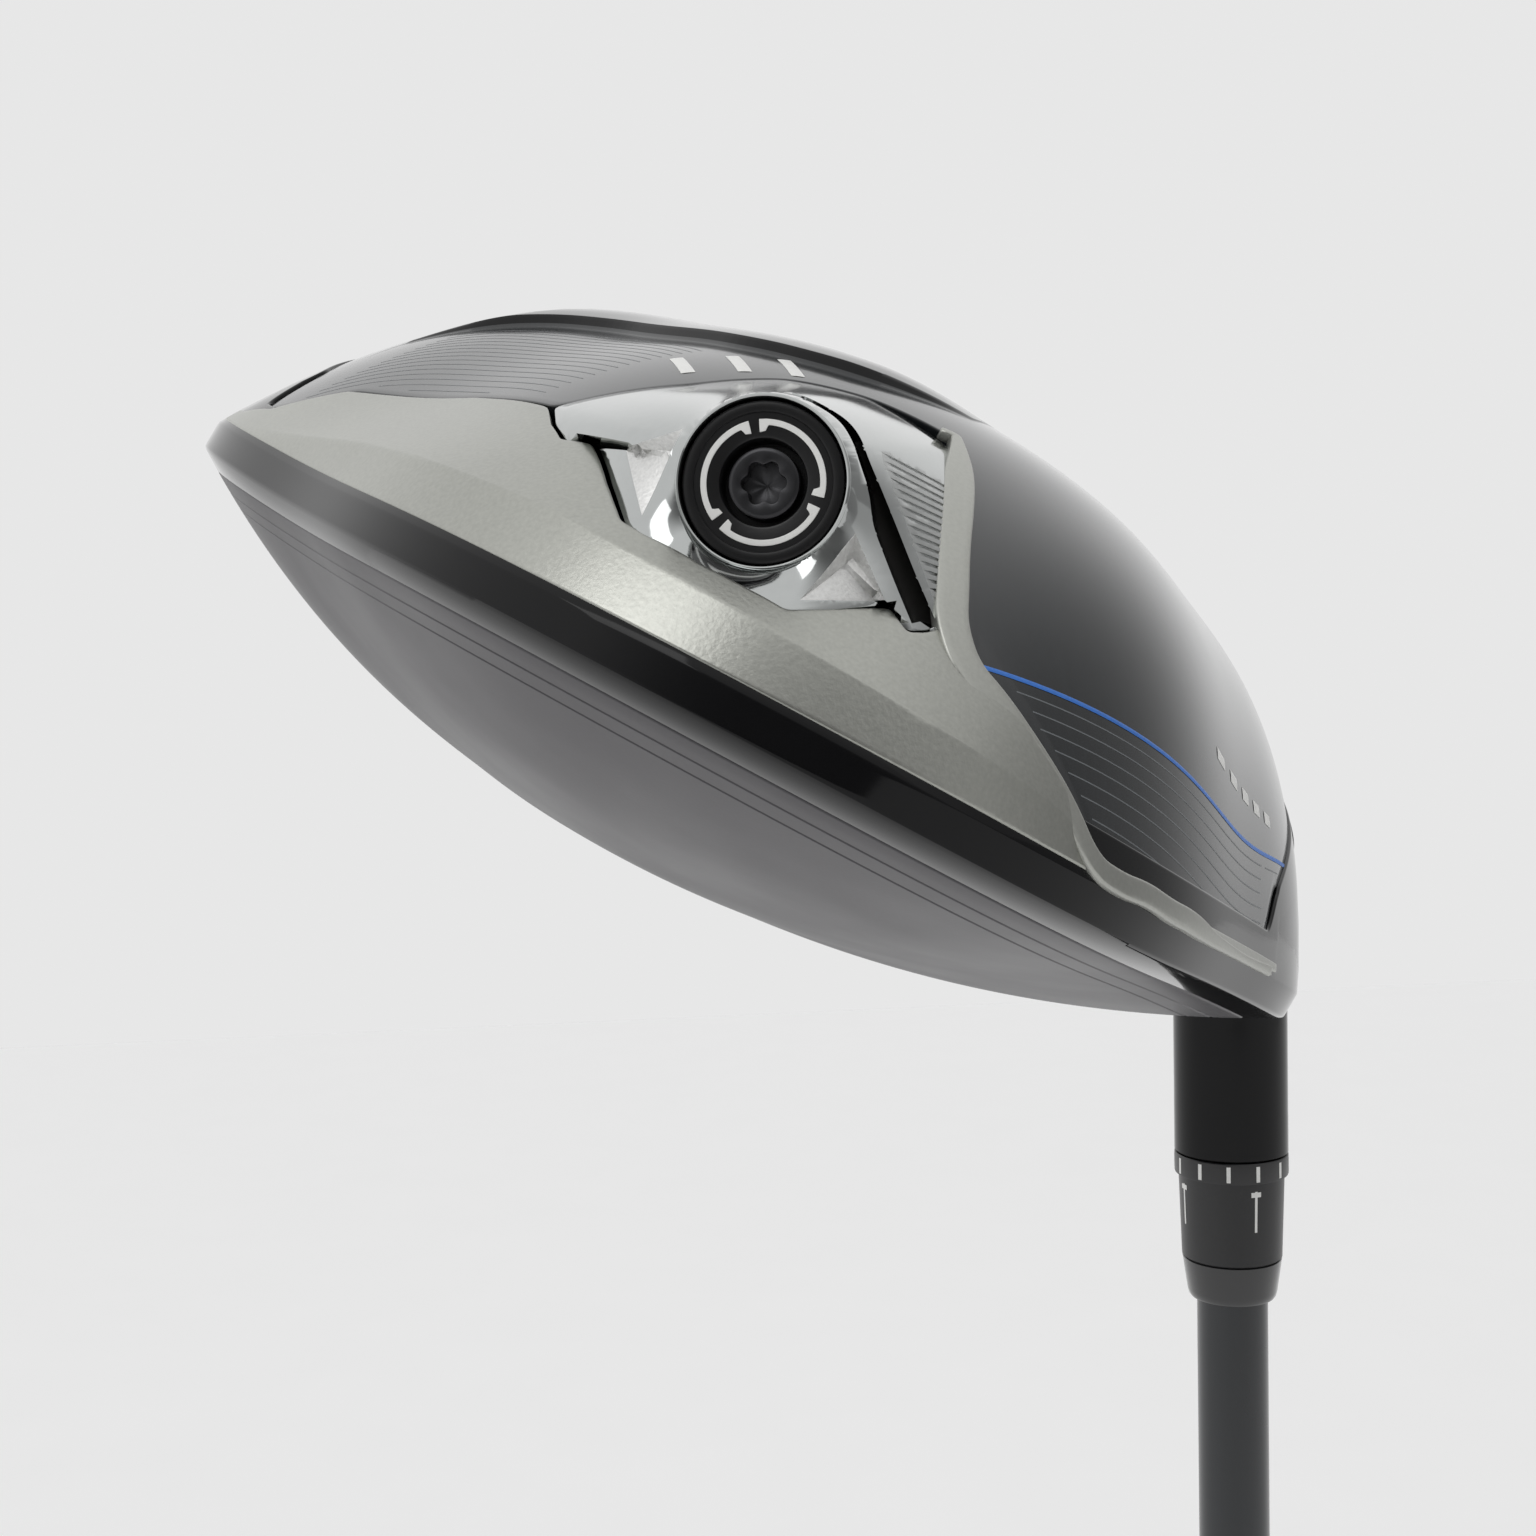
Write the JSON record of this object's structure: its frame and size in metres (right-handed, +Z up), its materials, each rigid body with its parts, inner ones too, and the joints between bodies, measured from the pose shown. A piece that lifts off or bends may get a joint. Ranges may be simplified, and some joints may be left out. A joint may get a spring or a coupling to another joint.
{
  "type": "golf driver",
  "caption": "Adjustable golf driver with a hollow composite and metal head, a screwed rear weight, an indexable loft sleeve, a tapered shaft and a rubber grip.",
  "frame": {"origin": "centre of the grip's butt face", "axes": "+Z runs up the shaft's axis from the butt to the head, +Y is the way the face looks at its address lie, +X completes the right-handed frame and points to the heel side of the head; the sole is up"},
  "size_m": [0.1292, 0.1191, 1.2017],
  "materials": {
    "grip_rubber": "matte textured rubber",
    "tape": "paper tape",
    "graphite": "gloss clear coat over dark blue-grey",
    "wood_plug": "plain",
    "ferrule_plastic": "satin",
    "sleeve_black": "satin anodised black",
    "bolt_steel": "blackened",
    "washer_steel": "plain",
    "clear_plastic": "plain",
    "casting_black": "gloss black over cast titanium",
    "face_carbon": "carbon composite, satin",
    "face_film": "moulded polymer film",
    "slot_rubber": "matte",
    "crown_carbon": "satin dark grey carbon composite",
    "sole_carbon": "gloss dark carbon composite",
    "ring_metal": "bead-blasted warm silver",
    "housing_chrome": "bright with blasted pockets",
    "insert_brass": "plain",
    "weight_black": "satin black tungsten alloy",
    "screw_steel": "blackened",
    "seal_rubber": "matte"
  },
  "bodies": {
    "shaft_assembly": {"grip": "grip_rubber", "grip_tape": "tape", "shaft": "graphite", "shaft_tip_plug": "wood_plug", "ferrule": "ferrule_plastic", "loft_sleeve": "sleeve_black"},
    "clamp_washer": {"bolt_washer": "washer_steel"},
    "head": {"body_casting": "casting_black", "face_insert": "face_carbon", "face_cover": "face_film", "slot_insert": "slot_rubber", "crown_panel": "crown_carbon", "sole_panel": "sole_carbon", "rear_ring": "ring_metal", "weight_housing": "housing_chrome", "weight_insert": "insert_brass", "bolt_retainer": "clear_plastic"},
    "bolt": {"hosel_bolt": "bolt_steel"},
    "weight": {"rear_weight": "weight_black", "screw_retainer": "seal_rubber"},
    "screw": {"weight_screw": "screw_steel"}
  },
  "joints": [
    {"name": "head_release", "type": "slide", "parent": "shaft_assembly", "child": "clamp_washer", "axis": [0, 0, 1], "range_m": [0, 0.008]},
    {"name": "loft_index", "type": "hinge", "parent": "clamp_washer", "child": "head", "pos_m": [0, 0, 1.1375], "axis": [0, 0, 1], "continuous": true},
    {"name": "bolt_turn", "type": "hinge", "parent": "clamp_washer", "child": "bolt", "pos_m": [0, 0, 1.1387], "axis": [0, 0, 1], "range_deg": [0, 3600]},
    {"name": "weight_release", "type": "slide", "parent": "head", "child": "weight", "axis": [-0.2701, -0.9589, 0.0866], "range_m": [0, 0.006]},
    {"name": "weight_screw_turn", "type": "hinge", "parent": "weight", "child": "screw", "pos_m": [-0.06677, -0.094, 1.17697], "axis": [-0.2701, -0.9589, 0.0866], "range_deg": [0, 2700]}
  ],
  "couplings": [
    {"joint": "bolt_turn", "follows": "head_release", "rad_per_m": 7854},
    {"joint": "weight_screw_turn", "follows": "weight_release", "rad_per_m": 7854}
  ]
}
